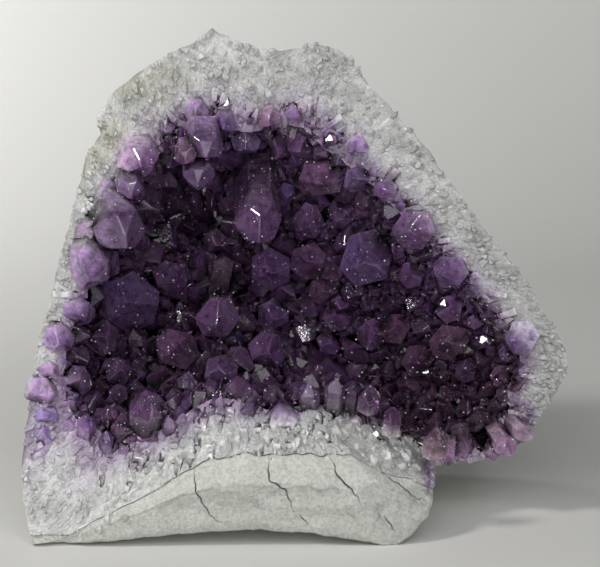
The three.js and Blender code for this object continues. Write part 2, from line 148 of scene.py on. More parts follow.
# Places on the bowls, as the solids have them, one row of points round the rim at a time
class Rim:
    """Stations round the rim, as arrays."""

    def __init__(self, table):
        across, up, self.rind, self.band, self.deep = np.array(table, float).T
        out = np.stack([across, up], 1) - HOLLOW
        self.reach = np.hypot(*out.T)
        self.out = out / self.reach[:, None]
        steps = round(4 * len(table) / len(RIM))
        near = [np.roll(self.reach, step) for step in range(-steps, steps + 1)]
        self.even_reach = np.mean(near, 0)
        self.down = np.maximum(0, -self.out[:, 1])
        self.aside = np.maximum(0, self.out[:, 0]) * (1 - self.down)

    def bowl(self, turn, inset, rim_deep, back_deep, back, box):
        """A row of a bowl whose rim is `inset` inside the outline: turn is 0 at the rim and 1 at the back."""
        power = 2 / (box[0] + (box[1] - box[0]) * self.aside + FLOOR_BOX * self.down)
        shrink = max(math.cos(turn * math.pi / 2), 0) ** power
        sink = math.sin(turn * math.pi / 2) ** power
        reach = self.reach + (self.even_reach - self.reach) * min(1, 1.6 * turn) - inset
        face = HOLLOW + (back - HOLLOW) * sink[:, None] + self.out * (reach * shrink)[:, None]
        return np.stack([face[:, 0], rim_deep + (back_deep - rim_deep) * sink, face[:, 1]], 1)

    def outside(self, turn):
        return self.bowl(turn, 0, self.deep, RIND_DEEP, RIND_BACK, OUTSIDE_BOX)

    def lining(self, turn, offset):
        """Where the rind meets the crust, moved out or in by `offset`."""
        back = (HOLLOW + RIND_BACK) / 2
        return self.bowl(turn, self.rind - offset, self.deep, LINING_DEEP + offset, back, LINING_BOX)

    def wall(self, turn):
        """The wall that the crystals stand on."""
        row = self.bowl(turn, self.rind + self.band, self.deep + BAND_SINK, WALL_DEEP, HOLLOW, WALL_BOX)
        away = np.hypot(row[:, 0] - RECESS["across"], row[:, 2] - RECESS["up"]) / RECESS["width"]
        row[:, 1] += RECESS["depth"] * np.exp(-away * away)
        return row

    def face(self, inward):
        """The broken rim: 0 is at the outline, 1 where rind meets quartz and 2 at the hollow's edge."""
        rind_share, band_share = min(inward, 1), max(inward - 1, 0)
        reach = self.reach - self.rind * rind_share - self.band * band_share
        face = HOLLOW + self.out * reach[:, None]
        bulge = RIM_BULGE * self.rind * math.sin(math.pi * rind_share)
        return np.stack([face[:, 0], self.deep - bulge + BAND_SINK * band_share, face[:, 1]], 1)


def fine_rim(spacing, tucked=0.0):
    """The rim with a station every `spacing`, and the rock thinned where it is a mere skin."""
    rows = np.array(RIM + RIM[:1], float)
    along = np.concatenate([[0], np.cumsum(np.hypot(*np.diff(rows[:, :2], axis=0).T))])
    count = round(along[-1] / spacing)
    at = np.linspace(0, along[-1], count, endpoint=False)
    across, up, rind, band, deep = (np.interp(at, along, column) for column in rows.T)
    shown = rind + (0.3 - rind) * (1 - smoothly(5, 14, rind))
    out = np.stack([across, up], 1) - HOLLOW
    out /= np.hypot(*out.T)[:, None]
    places = np.stack([across, 0 * across, up], 1)
    ragged = 0.7 * bumps(places, 6, 31) + 0.4 * bumps(places, 2.3, 32) - 0.3
    ragged -= tucked * (1 - smoothly(3, 9, shown))
    across, up = across + out[:, 0] * ragged, up + out[:, 1] * ragged
    shown += np.where(rind > 8, 1.2 * bumps(places, 5, 33), 0)
    return Rim(np.stack([across, up, shown, rind + band - shown, deep], 1))


COARSE = Rim(RIM)


def turns(count):
    return [(i + 1) / count for i in range(count)]


def sheet_of(rows):
    """Rows of points as a sheet to find places on, with the solids' own triangles."""
    columns = len(rows[0])
    corners = np.concatenate(rows)
    faces = []
    for row in range(len(rows) - 1):
        for column in range(columns):
            here, there = row * columns + column, row * columns + (column + 1) % columns
            faces += [(here, there, here + columns), (there, there + columns, here + columns)]
    return BVHTree.FromPolygons([tuple(c) for c in corners], faces)


WALL_ROWS = [COARSE.wall(turn) for turn in [0, *turns(5)]]
WALL = sheet_of(WALL_ROWS)
FACE = sheet_of([COARSE.face(inward) for inward in (0, 1, 1.5)] + WALL_ROWS)


def rim_between(at, inward):
    row = COARSE.face(inward)
    before = math.floor(at)
    a, b = (Vector(row[station % len(row)]) for station in (before, before + 1))
    return a.lerp(b, at - before)


# Crystals: each is a shoulder, the axis that it points along, its radius and how far its root goes back
class Point:
    def __init__(self, shoulder, axis, radius, root):
        self.shoulder, self.axis, self.radius, self.root = shoulder, axis.normalized(), radius, root
        self.bright = None
        self.glinting = False
        self.draw = seeded(math.floor(97 * shoulder.x + 0.5) + math.floor(89 * shoulder.z + 0.5))
        self.twist = between(self.draw, 0, math.pi / 3)


def wing_points():
    """The crystals on the wing's lower edge."""
    points = []
    for across, up, radius, lean_across, lean_up, standing in WING_EDGE:
        foot = FACE.ray_cast(Vector((across, -200, up)), Vector((0, 1, 0)))[0]
        forward = math.sqrt(1 - lean_across**2 - lean_up**2)
        axis = Vector((lean_across, -forward, lean_up))
        shoulder = Vector((across, foot.y - radius * standing * forward, up))
        points.append(Point(shoulder, axis, radius, radius * standing + WING_EDGE_ROOT))
    return points


# Quartz shapes
TIP_SLOPE = math.radians(38.2)  # the tip's six faces stand at this angle from the axis
ROOT_MARK = -6.0  # where a unit shape's root ends, before it is drawn out to its own length


def inside_planes(normals, offsets):
    """Corners and faces of the solid inside a set of planes."""
    triples = np.array(list(combinations(range(len(normals)), 3)))
    crossing = abs(np.linalg.det(normals[triples])) > 1e-4
    triples = triples[crossing]
    corners = np.linalg.solve(normals[triples], offsets[triples][..., None])[..., 0]
    corners = corners[(corners @ normals.T <= offsets + 1e-7).all(1)]
    corners = np.unique(np.round(corners, 5), axis=0)
    faces = []
    for normal, offset in zip(normals, offsets):
        on = np.flatnonzero(abs(corners @ normal - offset) < 1e-4)
        if len(on) < 3:
            continue
        arms = corners[on] - corners[on].mean(0)
        turned = np.arctan2(arms @ np.cross(normal, arms[0]), arms @ arms[0])
        faces.append([int(i) for i in on[np.argsort(turned)]])
    return corners, faces


def quartz_shape(draw):
    """A unit quartz point along +Z: a six-sided prism under a tip of three large and three small faces."""
    normals, offsets = [(0.0, 0.0, -1.0)], [-ROOT_MARK]
    chief = int(draw() * 3) * 2
    for side in range(6):
        turn = side * math.pi / 3 + between(draw, -0.02, 0.02)
        apothem = 0.866 * between(draw, 0.84, 1.08)
        rise = between(draw, -0.16, 0.1) if side % 2 == 0 else between(draw, -0.05, 0.4)
        if side == chief:
            rise -= between(draw, 0.0, 0.45)
        steep, flat = math.cos(TIP_SLOPE), math.sin(TIP_SLOPE)
        normals.append((math.cos(turn), math.sin(turn), 0.0))
        offsets.append(apothem)
        normals.append((steep * math.cos(turn), steep * math.sin(turn), flat))
        offsets.append(steep * apothem + flat * rise)
    return inside_planes(np.array(normals), np.array(offsets))


def chip_shape(draw):
    """A unit broken chip: flat faces every way."""
    golden = math.pi * (3 - math.sqrt(5))
    normals, offsets = [], []
    count = 9
    for i in range(count):
        z = 1 - 2 * (i + 0.5) / count
        ring = math.sqrt(1 - z * z)
        turn = golden * i + between(draw, -0.5, 0.5)
        normal = Vector((ring * math.cos(turn), ring * math.sin(turn), z + between(draw, -0.2, 0.2)))
        normals.append(tuple(normal.normalized()))
        offsets.append(between(draw, 0.5, 0.95))
    return inside_planes(np.array(normals), np.array(offsets))


def closed_shapes(make, count):
    """Shapes of a kind, without any whose corners nearly meet."""
    draw = seeded(19)
    found = []
    while len(found) < count:
        corners, faces = make(draw)
        edges = [edge for face in faces for edge in zip(face, face[1:] + face[:1])]
        if len(set(edges)) == len(edges) and {(b, a) for a, b in edges} == set(edges):
            found.append((corners, faces))
    return found


QUARTZ_SHAPES = closed_shapes(quartz_shape, 60)
CHIP_SHAPES = closed_shapes(chip_shape, 40)


def mirroring(place):
    """Which way a face looks, in the geode's frame, to show the camera the key light."""
    here = STAND @ Vector(place)
    to_light, to_camera = (KEY_LIGHT - here).normalized(), (CAMERA_PLACE - here).normalized()
    return (STAND.inverted().to_3x3() @ (to_light + to_camera)).normalized()


def face_normals(corners, faces):
    found = []
    for face in faces:
        a, b, c = (Vector(corners[i]) for i in (face[0], face[1], face[2]))
        found.append((b - a).cross(c - b).normalized())
    return found


def mirror_turn(turned, corners, faces, mirror, wanted):
    """A small turn that brings a face to mirror the key light, or that takes every face away from that."""
    normals = [turned @ normal for normal in face_normals(corners, faces)]
    nearest = max(normals, key=mirror.dot)
    if wanted:
        return nearest.rotation_difference(mirror).to_matrix()
    apart = nearest.angle(mirror)
    least = math.radians(9)
    if apart > least:
        return Matrix.Identity(3)
    away = nearest.cross(mirror)
    away = away.normalized() if away.length > 1e-4 else Vector((0, 0, 1))
    return Matrix.Rotation(apart - least, 3, away)


def softened(mesh, width):
    """A crystal with its edges bevelled, the bevel's faces marked for a paler colour that is partly wear and
    partly painted highlight, or as it is where that would not close.
    """
    made = bmesh.new()
    made.from_mesh(mesh)
    wear_and_painted_highlight = made.faces.layers.float.new("wear_and_painted_highlight")
    bevel = bmesh.ops.bevel(
        made, geom=made.edges[:], offset=width, segments=1, affect="EDGES", clamp_overlap=True
    )
    for face in bevel["faces"]:
        face[wear_and_painted_highlight] = 1
    if all(len(edge.link_faces) == 2 for edge in made.edges) and made.calc_volume(signed=True) > 0:
        made.to_mesh(mesh)
    made.free()
    return mesh


def placed_quartz(point):
    """A crystal's corners and faces at its place."""
    corners, faces = QUARTZ_SHAPES[int(point.draw() * len(QUARTZ_SHAPES))]
    corners = corners * point.radius
    corners[corners[:, 2] < ROOT_MARK * point.radius * 0.9, 2] = -point.root
    turned = Vector((0, 0, 1)).rotation_difference(point.axis).to_matrix()
    turned = turned @ Matrix.Rotation(point.twist, 3, "Z")
    if point.radius > 2.4 or point.glinting:
        turned = mirror_turn(turned, corners, faces, mirroring(point.shoulder), point.glinting) @ turned
    return corners @ np.array(turned).T + np.array(point.shoulder), faces


# Meshes
def mesh_of(name, corners, faces):
    mesh = bpy.data.meshes.new(name)
    mesh.from_pydata([tuple(c) for c in corners], [], faces)
    return mesh


def bowl_mesh(name, rows):
    """Rows of points as a closed body, each end drawn together at its middle."""
    columns = len(rows[0])
    corners = np.concatenate([*rows, [rows[0].mean(0)], [rows[-1].mean(0)]])
    faces = []
    for row in range(len(rows) - 1):
        for column in range(columns):
            here, there = row * columns + column, row * columns + (column + 1) % columns
            faces.append((here, there, there + columns, here + columns))
    first, last = len(rows) * columns, len(rows) * columns + 1
    end = (len(rows) - 1) * columns
    for column in range(columns):
        after = (column + 1) % columns
        faces.append((first, after, column))
        faces.append((last, end + column, end + after))
    return mesh_of(name, corners, faces)


def combined(base, operation, others):
    """A closed mesh joined to, cut by or kept within others."""
    scene = bpy.context.scene.collection
    made = bpy.data.objects.new("base", base)
    scene.objects.link(made)
    group = bpy.data.collections.new("others")
    scene.children.link(group)
    parts = [bpy.data.objects.new("other", mesh) for mesh in others]
    for part in parts:
        group.objects.link(part)
    step = made.modifiers.new("step", "BOOLEAN")
    step.operation, step.solver = operation, "MANIFOLD"
    step.operand_type, step.collection = "COLLECTION", group
    graph = bpy.context.evaluated_depsgraph_get()
    result = bpy.data.meshes.new_from_object(made.evaluated_get(graph))
    for part in [made, *parts]:
        bpy.data.objects.remove(part)
    bpy.data.collections.remove(group)
    for mesh in [base, *others]:
        bpy.data.meshes.remove(mesh)
    return result


def outwards(mesh):
    """A closed mesh with its faces turned outwards."""
    made = bmesh.new()
    made.from_mesh(mesh)
    if made.calc_volume(signed=True) < 0:
        bmesh.ops.reverse_faces(made, faces=made.faces)
    made.to_mesh(mesh)
    made.free()
    return mesh


def positions(mesh):
    found = np.empty(len(mesh.vertices) * 3, np.float32)
    mesh.vertices.foreach_get("co", found)
    return found.reshape(-1, 3).astype(float)


def give(mesh, name, values, domain="POINT"):
    """A number for each corner or face, for the materials to read."""
    layer = mesh.attributes.new(name, "FLOAT", domain)
    layer.data.foreach_set("value", np.asarray(values, np.float32))


# The rock
ROCK_SPACING = 1.35  # between columns of the rock's surface
LEDGE = 0.6  # how far up the lower lip's rock, from its bottom edge, the ledge runs
CRACKS = [  # across and up, on the lower lip
    [(-37.5, 31), (-37, 20), (-34, 15), (-32, 11.5), (-25, 7)],
    [(-11.3, 34), (-11, 24), (-5.5, 21), (-1.8, 12.5)],
    [(9, 33.5), (12.3, 29.5), (13, 26), (17.5, 21.5), (20.7, 18), (21.4, 15.5)],
    [(0, 11.5), (2.9, 8)],
    [(25.8, 33.5), (29.8, 26), (36, 21.5), (41.7, 17), (45.7, 14)],
    [(30, 11.3), (34, 5.5)],
]
CRACK_WIDE = 0.36
CRACK_DEEP = 4.5


SKIN_INSIDE = 2.2  # how far the crust's back stays within the outline, close behind the rim
SKIN_THICK = 4.2  # how much thicker the rock is behind the rim, where the rim shows a mere skin of it


def held_in(rim, row, margin):
    """A row drawn in until it lies inside the outline by a margin."""
    away = row[:, [0, 2]] - HOLLOW
    held = np.minimum(1, (rim.reach - margin) / np.hypot(*away.T))
    row[:, [0, 2]] = HOLLOW + away * held[:, None]
    return row


def inside_row(rim, turn, offset, margin):
    """The rock's lined inside, kept well within the outline."""
    skin = (1 - smoothly(3, 9, rim.rind)) * smoothly(0, 0.07, turn) * smoothly(0.85, 0.5, turn)
    return held_in(rim, rim.lining(turn, offset - SKIN_THICK * skin), margin * min(1, 25 * turn))


def rock_rows(rim):
    """The rock from the middle of its back, over the broken rim and down its lined inside."""
    rows = []
    wide = smoothly(8, 24, rim.rind)
    skin = 1 - smoothly(3, 9, rim.rind)
    for share in turns(84)[-3::-1]:
        turn = share**1.7
        row = rim.outside(turn)
        row[:, 1] += 2.6 * skin * max(0, 1 - 14 * turn)
        row[:, 2] += 6 * wide * rim.down * math.exp(-(((turn - 0.03) / 0.05) ** 2)) * min(1, 200 * turn)
        relief = np.clip(0.8 * bumps(row, 9, 41) + 0.5 * bumps(row, 3.2, 42), -0.8, 0.8)
        swell = 3 + 2.2 * bumps(row, 31, 1) + 1.1 * bumps(row, 13, 2)
        rough = 0.75 * bumps(row, 5.5, 3) + 0.45 * bumps(row, 2.6, 4)
        pits = np.minimum(0, bumps(row, 4.0, 5) + 0.18) * 1.6
        outward = np.stack([row[:, 0] - HOLLOW[0], row[:, 1] + 10, row[:, 2] - HOLLOW[1]], 1)
        outward /= np.linalg.norm(outward, axis=1)[:, None]
        hidden = 1 - skin * (1 - smoothly(0.1, 0.45, turn))
        height = swell * min(1, 4 * turn) * hidden + (rough + pits) * min(1, 40 * turn) * (0.5 + 0.5 * hidden)
        row = row + outward * np.maximum(height, -0.2 - 2.8 * (1 - skin))[:, None]
        kept = held_in(rim, row.copy(), (0.9 - relief) * min(1, 25 * turn))
        row = np.where(row[:, 2:] > 12, kept, row)
        foot = row[:, 2] < 27
        row[foot, 0] = np.minimum(row[foot, 0], 41 + 0.3 * row[foot, 2])
        rows.append(row)
    for inward in np.linspace(0, 1, 54)[:-1]:
        row = rim.face(inward)
        ledge = LEDGE + 0.1 * abs(bumps(row * (1, 0, 0.1), 13, 6)) + 0.05 * bumps(row * (1, 0, 0.1), 4, 7)
        profile = np.where(inward < ledge, inward / ledge, (1 - inward) / (1 - ledge))
        profile = 0.62 * profile + 0.38 * np.sin(math.pi / 2 * profile)
        flakes = bumps(row * (0.45, 1, 1), 6, 8)
        scales = np.floor(4 * flakes + 1.5 * bumps(row, 2.2, 19))
        lower = inward < ledge
        height = wide * profile * (0.13 * rim.rind + np.where(lower, 0.34, 0.12) * scales + 0.3 * flakes)
        height += wide * np.where(lower, 0, 0.8)
        height += (0.32 * bumps(row, 2.6, 9) + 0.18 * bumps(row, 1.3, 10)) * min(1, 6 * inward + 0.3)
        height -= 0.9 * (1 - min(inward, 0.12) / 0.12) ** 2 + 2.6 * skin
        row[:, 1] = rim.deep - height
        rows.append(row)
    return rows + [inside_row(rim, turn, 0, SKIN_INSIDE) for turn in (0, 0.04, 0.1, 0.2, 0.4, 0.7, 0.95)]


def crack_cutter(line, draw):
    """A wedge along a crack, its sharp edge inwards."""
    path = [Vector((*line[0], 0))]
    for a, b in zip(line, line[1:]):
        a, b = Vector((*a, 0)), Vector((*b, 0))
        count = max(1, round((b - a).length / 1.3))
        aside = Vector((a.y - b.y, b.x - a.x, 0)).normalized()
        for i in range(1, count + 1):
            stray = between(draw, -0.4, 0.4) if i < count else 0
            path.append(a.lerp(b, i / count) + aside * stray)
    corners = []
    for i, here in enumerate(path):
        before, after = path[max(i - 1, 0)], path[min(i + 1, len(path) - 1)]
        aside = Vector((before.y - after.y, after.x - before.x, 0)).normalized()
        share = min(1, 3 * (i + 0.4) / len(path), 3 * (len(path) - 0.6 - i) / len(path))
        depth = FACE.ray_cast(Vector((here.x, -200, here.y)), Vector((0, 1, 0)))[0].y
        wide = CRACK_WIDE * share * between(draw, 0.7, 1.3)
        for side in (-1, 1):
            corner = here + aside * side * wide
            corners.append((corner.x, depth - 6, corner.y))
        corners.append((here.x, depth + CRACK_DEEP * share, here.y))
    last = len(corners)
    faces = [(0, 2, 1), (last - 3, last - 2, last - 1)]
    for i in range(0, last - 3, 3):
        faces += [(i + a, i + b, i + 3 + b, i + 3 + a) for a, b in ((0, 1), (1, 2), (2, 0))]
    return outwards(mesh_of("crack", corners, faces))


def below(top):
    """A block of everything below a height over the table."""
    block = bmesh.new()
    bmesh.ops.create_cube(block, size=1)
    placed = Matrix.Translation((0, 0, (top - 60) / 1000)) @ Matrix.Diagonal((0.5, 0.5, 0.12, 1))
    block.transform(STAND.inverted() @ placed)
    mesh = bpy.data.meshes.new("below")
    block.to_mesh(mesh)
    block.free()
    return mesh


def make_rock():
    rim = fine_rim(ROCK_SPACING, 0.8)
    draw = seeded(5)
    cracks = [crack_cutter(line, draw) for line in CRACKS]
    held = outwards(bowl_mesh("held", [rim.lining(turn, 0.05) for turn in (0.95, 0.7, 0.4, 0.2, 0.1, 0)]))
    floor = combined(held, "INTERSECT", [below(FLOOR)])
    shell = outwards(bowl_mesh("shell", rock_rows(rim)))
    return combined(combined(shell, "UNION", [floor]), "DIFFERENCE", [below(0), *cracks])


# The broken quartz
QUARTZ_SPACING = 0.95
GRAINS = 2300  # chips that stand out of the broken band


def facets(along, inwards, wide, long, tilt, seed):
    """Heights of a surface broken into flat facets, each long across the rim and narrow along it."""
    heights = []
    for s, t in zip(along / wide, inwards / long):
        cell = noise.voronoi(Vector((s, t, seed)))[1][0]
        lean = noise.cell_vector(cell * 7.31)
        heights.append(lean.z * 0.5 + tilt * (lean.x * (s - cell.x) + lean.y * (t - cell.y)))
    return np.array(heights)


LINING_TURNS = (0.95, 0.7, 0.4, 0.2, 0.1, 0.04, 0.015, 0.006, 0.002, 0)


def open_room():
    """All that lies inside the rock and in front of it, where crystals may be."""
    rim = fine_rim(QUARTZ_SPACING)
    rows = [inside_row(rim, turn, -2 * GAP, SKIN_INSIDE + 1.5) for turn in LINING_TURNS]
    for spread, forward in ((14, 0), (14, 60)):
        wide = rim.face(0)
        wide[:, [0, 2]] += rim.out * spread
        wide[:, 1] -= forward
        rows.append(wide)
    return outwards(bowl_mesh("room", rows))


def quartz_rows(rim):
    """The crust from its back, over the broken band and down the wall that the crystals stand on."""
    rows = [inside_row(rim, turn, -GAP, SKIN_INSIDE + 1.2) for turn in LINING_TURNS]
    along = np.arange(len(rim.reach)) * QUARTZ_SPACING
    for share in np.linspace(0, 1, 28)[1:]:
        row = rim.face(1 + share)
        inwards = rim.band * share
        height = 0.5 * facets(along, inwards, 3.4, 8, 0.8, 3) + 0.2 * facets(along, inwards, 1.9, 3.0, 0.9, 8)
        height += 0.9 * bumps(row, 9, 11)
        row[:, 1] -= height * min(1, 0.4 + 9 * share)
        rows.append(row)
    for share in turns(36)[:-1]:
        turn = share**1.3
        row = rim.wall(turn)
        inner = HOLLOW[0] - row[:, 0], -row[:, 1] + 10, HOLLOW[1] - row[:, 2]
        inner = np.stack(inner, 1) / np.linalg.norm(inner, axis=0)[:, None]
        height = 1.5 * bumps(row, 7, 12) + 0.9 * bumps(row, 3, 13)
        rows.append(row + inner * (height * min(1, 8 * turn))[:, None])
    return rows


def make_quartz():
    rim = fine_rim(QUARTZ_SPACING)
    draw = seeded(23)
    body = outwards(bowl_mesh("body", quartz_rows(rim)))
    grains = []
    for _ in range(GRAINS):
        at, share = between(draw, 0, len(RIM)), draw()
        place = rim_between(at, 0.3 + 1.64 * share if draw() < 0.3 else 1.02 + 0.92 * share)
        root, edge = rim_between(at, 1), rim_between(at, 2)
        axis = (edge - root).normalized() + any_vector(draw) * 0.35
        size = between(draw, 0.6, 1.8) * (0.6 + 0.5 * share)
        corners, faces = CHIP_SHAPES[int(draw() * len(CHIP_SHAPES))]
        stretched = corners * (size, size, size * between(draw, 0.9, 1.9))
        turned = Vector((0, 0, 1)).rotation_difference(axis).to_matrix() @ Matrix.Rotation(6 * draw(), 3, "Z")
        place.y += between(draw, -0.1, 0.6) * size
        grains.append(mesh_of("grain", stretched @ np.array(turned).T + np.array(place), faces))
    return combined(combined(body, "UNION", grains), "DIFFERENCE", [below(FLOOR + GAP)])


# The crystals
SHOWN_CRYSTALS = [  # across, up and depth of the shoulder, radius, lean across and up, and how bright it is
    # the left wall, from the top down
    (-59, 138.5, -4, 8.3, 0.1, -0.4, 1.6), (-38, 156, 4, 4.8, 0.05, -0.6, 1.4),
    (-34.8, 143, 3, 7.6, 0.05, -0.72, 1.15), (-36.5, 133, 5, 6.4, 0.05, -0.8, 0.8),
    (-41.5, 140, 0, 4.6, 0, -0.7, 1.4), (-48, 140, 6, 4.8, 0.1, -0.6, 0.9),
    (-50, 131, 9, 5.4, 0.2, -0.5, 0.9), (-61.5, 128, 0, 5.0, 0.1, -0.75, 1.0),
    (-70, 128, -4, 3.6, 0.1, -0.6, 1.3), (-65, 112.5, -3, 10.4, 0.3, -0.66, 0.75),
    (-76, 112, -5, 6.0, 0.25, -0.5, 1.1), (-77, 99, -9, 8.8, -0.05, -0.5, 1.3),
    (-80, 83.5, -8, 6.4, 0.3, -0.3, 1.2), (-86.4, 73.3, -10, 6.4, 0.1, -0.3, 1.2),
    (-62, 86, 7, 12.2, 0.1, -0.12, 0.8), (-90, 61.5, -10, 4.8, 0.3, 0, 1.1),
    (-94, 54.5, -15, 6.8, -0.35, -0.05, 1.4), (-90.5, 46, -14, 4.8, 0, -0.25, 0.9),
    (-91, 40, -16, 4.6, 0, 0.3, 0.9), (-80.6, 59, -6, 6.4, 0.3, 0, 0.8),
    (-82.5, 43, -17, 3.8, 0.1, 0.7, 1.3), (-70, 101, 3, 6.0, 0.3, -0.2, 0.9),
    (-72, 74, 0, 7.0, 0.3, 0, 0.8), (-67, 62, 2, 6.6, 0.3, 0.2, 0.7),
    # under the top rim
    (-28, 152, 8, 5.2, 0, -0.5, 1.0), (-20, 146, 10, 6.0, 0, -0.5, 1.1), (-11, 153, 7, 5.0, 0, -0.6, 1.2),
    (0, 145, 9, 5.6, -0.1, -0.45, 1.0), (11, 146, 6, 4.2, -0.1, -0.4, 1.2),
    (-2, 155, 4, 4.0, 0, -0.6, 1.4), (21, 132, 8, 6.0, -0.2, -0.2, 1.1),
    (31, 128, 4, 4.6, -0.2, -0.3, 1.2), (21, 143, 3, 4.4, -0.2, -0.5, 1.3),
    # the middle of the hollow
    (-20, 129, 13, 8.8, -0.05, -0.55, 1.0), (-15.5, 115, 8, 9.0, 0.05, -0.7, 1.15),
    (-26, 123, 13, 5.0, -0.1, -0.5, 1.1), (-32, 109, 30, 5.4, 0.1, -0.3, 1.0),
    (-28, 97, 28, 7.4, 0.1, -0.2, 1.1), (-30.5, 81, 24, 8.6, 0, -0.15, 1.1),
    (-10, 82, 32, 6.6, 0, -0.2, 0.9), (-12, 69, 24, 7.8, 0.1, 0, 1.0), (-11, 99, 34, 8.0, 0, -0.1, 0.9),
    (3, 101.5, 30, 7.4, -0.1, -0.1, 0.9), (8, 132.5, 10, 8.6, -0.15, -0.35, 1.0),
    (24, 102.7, 5, 11.4, -0.12, 0, 1.1), (14.5, 82, 22, 6.4, 0, 0.2, 0.8),
    (11.3, 72, 18, 5.4, 0.1, 0, 1.0), (27, 75, 10, 6.8, -0.1, 0.1, 1.2),
    (3, 117, 24, 7.0, -0.1, -0.2, 0.9), (9, 91, 26, 6.0, 0, 0, 0.8), (-45, 70, 24, 8.4, 0.2, 0.1, 0.8),
    (-48, 96, 26, 7.6, 0.3, -0.1, 0.8), (-28, 62, 16, 7.0, 0.1, 0.2, 0.8),
    # the wing on the right
    (41, 112.5, 1, 8.2, -0.2, -0.2, 1.3), (54.5, 98, 1, 7.2, -0.25, -0.1, 1.2),
    (55, 85, -1, 5.8, 0, 0, 1.2), (64, 80, -1, 3.2, -0.2, 0.1, 1.6), (40.7, 97, 6, 5.4, -0.15, 0.1, 0.9),
    (54.5, 72.6, 5, 7.8, -0.15, -0.05, 0.8), (43.6, 65, 8, 6.4, -0.1, 0.1, 0.9),
    (35.6, 77, 8, 6.0, -0.1, 0.1, 0.9), (81, 74, -1, 6.8, -0.2, 0, 1.8),
    (75.5, 68, -2, 3.4, -0.2, 0, 1.6), (74.4, 59.5, 1, 5.0, -0.1, -0.1, 1.3),
    (61, 62, 5, 5.0, -0.2, -0.1, 1.0),
    # the lip, pointing up
    (-76, 44, -20, 4.2, 0.1, 0.85, 1.6), (-68, 48, -18, 3.4, 0.1, 0.8, 1.0),
    (-63.5, 44, -20, 4.8, 0.1, 0.9, 1.2), (-54.5, 49, -18, 8.8, 0.05, 0.86, 1.3),
    (-39, 45, -20, 4.2, 0.1, 0.9, 1.2), (-69, 39, -22, 3.2, 0, 0.9, 1.3),
    (-22, 56, -17, 5.2, 0, 0.85, 0.9), (-9, 54, -17, 4.6, 0.05, 0.85, 1.0),
    (3, 55, -17, 4.8, 0, 0.85, 1.2), (12.7, 56, -17, 4.0, 0.1, 0.85, 1.2),
    (19, 56.5, -16, 4.2, 0.1, 0.7, 0.8), (25, 54, -17, 4.4, 0.1, 0.8, 1.0),
    (24.7, 47, -20, 5.8, 0, 0.35, 1.0), (33, 46, -18, 4.2, 0.1, 0.85, 1.2),
    (48.5, 39, -16, 5.0, 0.15, 0.9, 0.9), (-31, 49, -19, 4.6, 0.05, 0.9, 1.2),
    (-47, 44, -21, 3.8, 0, 0.9, 1.3),
]
GLINTS = [  # across, up and radius of small crystals that show the key light
    (-5.8, 127, 4.8), (-7.5, 133.5, 3.0), (15.2, 85.7, 4.0), (67.7, 72.6, 2.6), (5.4, 118.7, 2.0),
    (11.3, 146, 2.4), (-26.9, 144, 1.8), (-52.3, 118, 2.0), (47, 61, 1.8), (72.6, 58, 2.2),
    (-31, 83.5, 4.2), (53.5, 86, 2.6),
]


def any_vector(draw):
    return Vector([between(draw, -1, 1) for _ in range(3)])


class Tips:
    """The surface that the points' shoulders reach, from the hollow's edge to its middle."""

    def __init__(self):
        turned = np.arctan2(COARSE.out[:, 1], COARSE.out[:, 0])
        order = np.argsort(turned)
        self.turned = turned[order]
        self.edge = (COARSE.reach - COARSE.rind - COARSE.band)[order]
        self.deep = (COARSE.deep + BAND_SINK)[order]

    def share(self, across, up):
        """0 in the hollow's middle and 1 at its edge."""
        away = across - HOLLOW[0], up - HOLLOW[1]
        at = math.atan2(away[1], away[0])
        return math.hypot(*away) / np.interp(at, self.turned, self.edge, period=2 * math.pi)

    def depth(self, across, up):
        away = across - HOLLOW[0], up - HOLLOW[1]
        edge = np.interp(math.atan2(away[1], away[0]), self.turned, self.deep, period=2 * math.pi)
        sunk = max(0, 1 - self.share(across, up) ** 2.2) ** 0.8
        pocket = math.hypot(across - RECESS["across"], up - RECESS["up"]) / RECESS["width"]
        uneven = 3 * noise.noise(Vector((across / 14, 3.3, up / 14))) * sunk
        middle = 36 - 9 * float(smoothly(0, 50, across))
        return float(edge) + middle * sunk + uneven + 17 * math.exp(-pocket * pocket)

    def normal(self, across, up):
        """Towards the open."""
        step = 1.5
        slope = [
            (self.depth(across + a, up + b) - self.depth(across - a, up - b)) / (2 * step)
            for a, b in ((step, 0), (0, step))
        ]
        return Vector((slope[0], -1, slope[1])).normalized()


TIPS = Tips()


def rooted(shoulder, axis, radius):
    """A crystal from its shoulder back into the crust."""
    behind = WALL.ray_cast(shoulder, -axis)[3]
    return Point(shoulder, axis, radius, min(behind or 0, 7 * radius) + 1.5 * radius)


def shown_points():
    found = []
    for across, up, deep, radius, lean_across, lean_up, bright in SHOWN_CRYSTALS:
        axis = Vector((lean_across, -math.sqrt(max(0, 1 - lean_across**2 - lean_up**2)), lean_up))
        if lean_up < 0.6:
            settled = TIPS.depth(across, up) - (0.6 if radius < 7 else 1.0) * radius
            deep = min(settled, deep) if lean_up < -0.65 else settled
        point = rooted(Vector((across, deep, up)), axis, radius)
        point.bright = bright
        found.append(point)
    for across, up, radius in GLINTS:
        point = rooted(Vector((across, TIPS.depth(across, up) - 5.5, up)), Vector((-0.2, -0.95, 0.2)), radius)
        point.bright, point.glinting = 1.3, True
        found.append(point)
    return found


